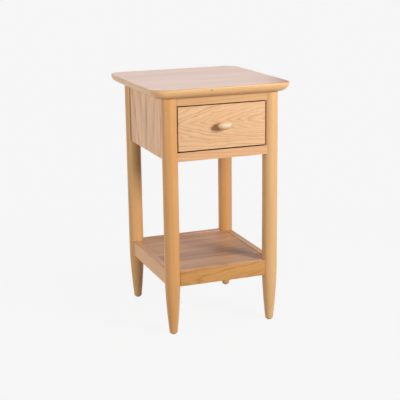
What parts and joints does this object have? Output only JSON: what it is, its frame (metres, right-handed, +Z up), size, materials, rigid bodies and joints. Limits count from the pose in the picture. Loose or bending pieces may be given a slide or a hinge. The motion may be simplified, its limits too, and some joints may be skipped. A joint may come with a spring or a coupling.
{
  "type": "bedside cabinet",
  "caption": "Light oak bedside cabinet with an overhanging rounded top, a drawer with an oval knob, turned tapering legs and a framed low shelf.",
  "frame": {"origin": "on the floor, under the middle of the top board", "axes": "+Z up; the drawer faces -Y and opens that way; +X is to the right of a person who faces the drawer"},
  "size_m": [0.3838, 0.4084, 0.66],
  "materials": {
    "oak": "clear satin lacquer on light oak",
    "pale_oak": "clear satin lacquer on a paler wood",
    "drawer_lining": "thin matt lacquer",
    "screw_steel": "bright zinc plate",
    "glide_plastic": "matt moulded"
  },
  "bodies": {
    "carcass": {"top": "oak", "leg_front_left": "oak", "leg_front_right": "oak", "leg_back_left": "oak", "leg_back_right": "oak", "glide_front_left": "glide_plastic", "glide_front_right": "glide_plastic", "glide_back_left": "glide_plastic", "glide_back_right": "glide_plastic", "side_panel_left": "oak", "side_panel_right": "oak", "back_panel": "oak", "front_rail_top": "oak", "front_rail_bottom": "oak", "shelf_rail_front": "oak", "shelf_rail_back": "oak", "shelf_rail_left": "oak", "shelf_rail_right": "oak", "shelf_board": "oak", "shelf_cleat_front": "oak", "shelf_cleat_back": "oak", "shelf_cleat_left": "oak", "shelf_cleat_right": "oak", "drawer_runner_left": "oak", "drawer_runner_right": "oak", "drawer_guide_left": "oak", "drawer_guide_right": "oak", "drawer_kicker_left": "oak", "drawer_kicker_right": "oak", "drawer_stop_left": "oak", "drawer_stop_right": "oak", "top_screw_front_left": "screw_steel", "top_screw_front_right": "screw_steel", "top_screw_back_left": "screw_steel", "top_screw_back_right": "screw_steel", "guide_screw_front_left": "screw_steel", "guide_screw_front_right": "screw_steel", "guide_screw_back_left": "screw_steel", "guide_screw_back_right": "screw_steel", "runner_screw_front_left": "screw_steel", "runner_screw_front_right": "screw_steel", "runner_screw_back_left": "screw_steel", "runner_screw_back_right": "screw_steel", "shelf_screw_front": "screw_steel", "shelf_screw_back": "screw_steel", "shelf_screw_left": "screw_steel", "shelf_screw_right": "screw_steel"},
    "drawer": {"drawer_front": "oak", "drawer_side_left": "drawer_lining", "drawer_side_right": "drawer_lining", "drawer_back": "drawer_lining", "drawer_bottom": "drawer_lining", "drawer_knob": "pale_oak", "knob_screw": "screw_steel", "drawer_bottom_screw_left": "screw_steel", "drawer_bottom_screw_right": "screw_steel"}
  },
  "joints": [
    {"name": "drawer_slide", "type": "slide", "parent": "carcass", "child": "drawer", "axis": [0, -1, 0], "range_m": [0, 0.22]}
  ]
}
